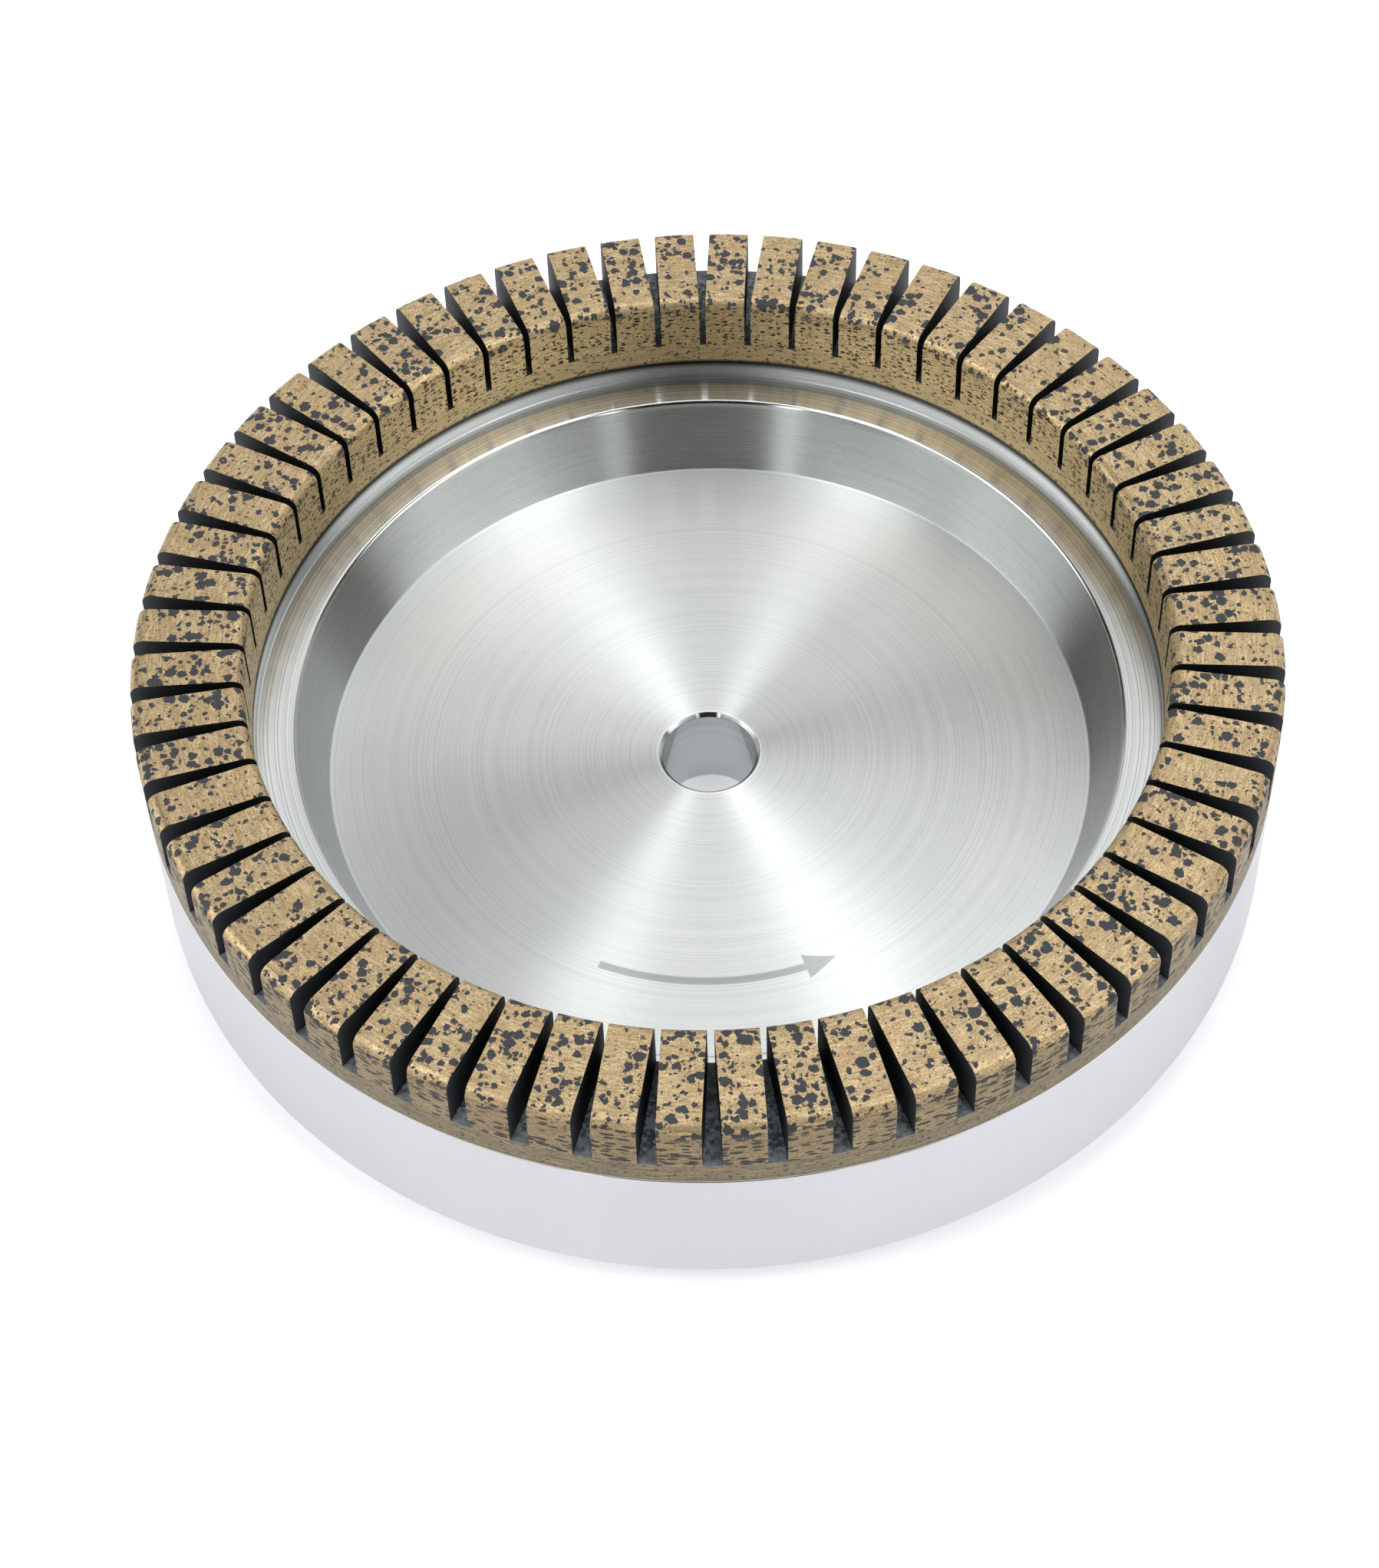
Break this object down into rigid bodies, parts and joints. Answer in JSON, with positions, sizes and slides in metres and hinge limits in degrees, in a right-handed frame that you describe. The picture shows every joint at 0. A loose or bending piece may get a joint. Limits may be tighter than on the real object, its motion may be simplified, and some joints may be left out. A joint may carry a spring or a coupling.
{
  "type": "diamond grinding wheel",
  "caption": "Cup-shaped grinding wheel: turned aluminium body with a plain centre bore and a bronze-bonded diamond ring cut by radial slots into teeth.",
  "frame": {"origin": "centre of the hub's back face, which seats on the machine's flange", "axes": "+Z along the bore axis from the back face towards the teeth; +X through the middle of the first tooth; +Y completes the right-handed set"},
  "size_m": [0.15, 0.15, 0.0385],
  "materials": {
    "turned_aluminium": "turned, bright satin",
    "diamond_bronze": "lapped metal bond with dark diamond clusters",
    "plain_bronze": "ground, satin",
    "bond": "dull, dark"
  },
  "bodies": {
    "root": {"wheel_body": "turned_aluminium", "bond_layer": "bond", "backing_ring": "plain_bronze", "tooth_pair_01": "diamond_bronze", "tooth_pair_02": "diamond_bronze", "tooth_pair_03": "diamond_bronze", "tooth_pair_04": "diamond_bronze", "tooth_pair_05": "diamond_bronze", "tooth_pair_06": "diamond_bronze", "tooth_pair_07": "diamond_bronze", "tooth_pair_08": "diamond_bronze", "tooth_pair_09": "diamond_bronze", "tooth_pair_10": "diamond_bronze", "tooth_pair_11": "diamond_bronze", "tooth_pair_12": "diamond_bronze", "tooth_pair_13": "diamond_bronze", "tooth_pair_14": "diamond_bronze", "tooth_pair_15": "diamond_bronze", "tooth_pair_16": "diamond_bronze", "tooth_pair_17": "diamond_bronze", "tooth_pair_18": "diamond_bronze", "tooth_pair_19": "diamond_bronze", "tooth_pair_20": "diamond_bronze", "tooth_pair_21": "diamond_bronze", "tooth_pair_22": "diamond_bronze", "tooth_pair_23": "diamond_bronze", "tooth_pair_24": "diamond_bronze", "tooth_pair_25": "diamond_bronze", "tooth_pair_26": "diamond_bronze", "tooth_pair_27": "diamond_bronze", "tooth_pair_28": "diamond_bronze", "tooth_pair_29": "diamond_bronze", "tooth_pair_30": "diamond_bronze"}
  },
  "joints": []
}
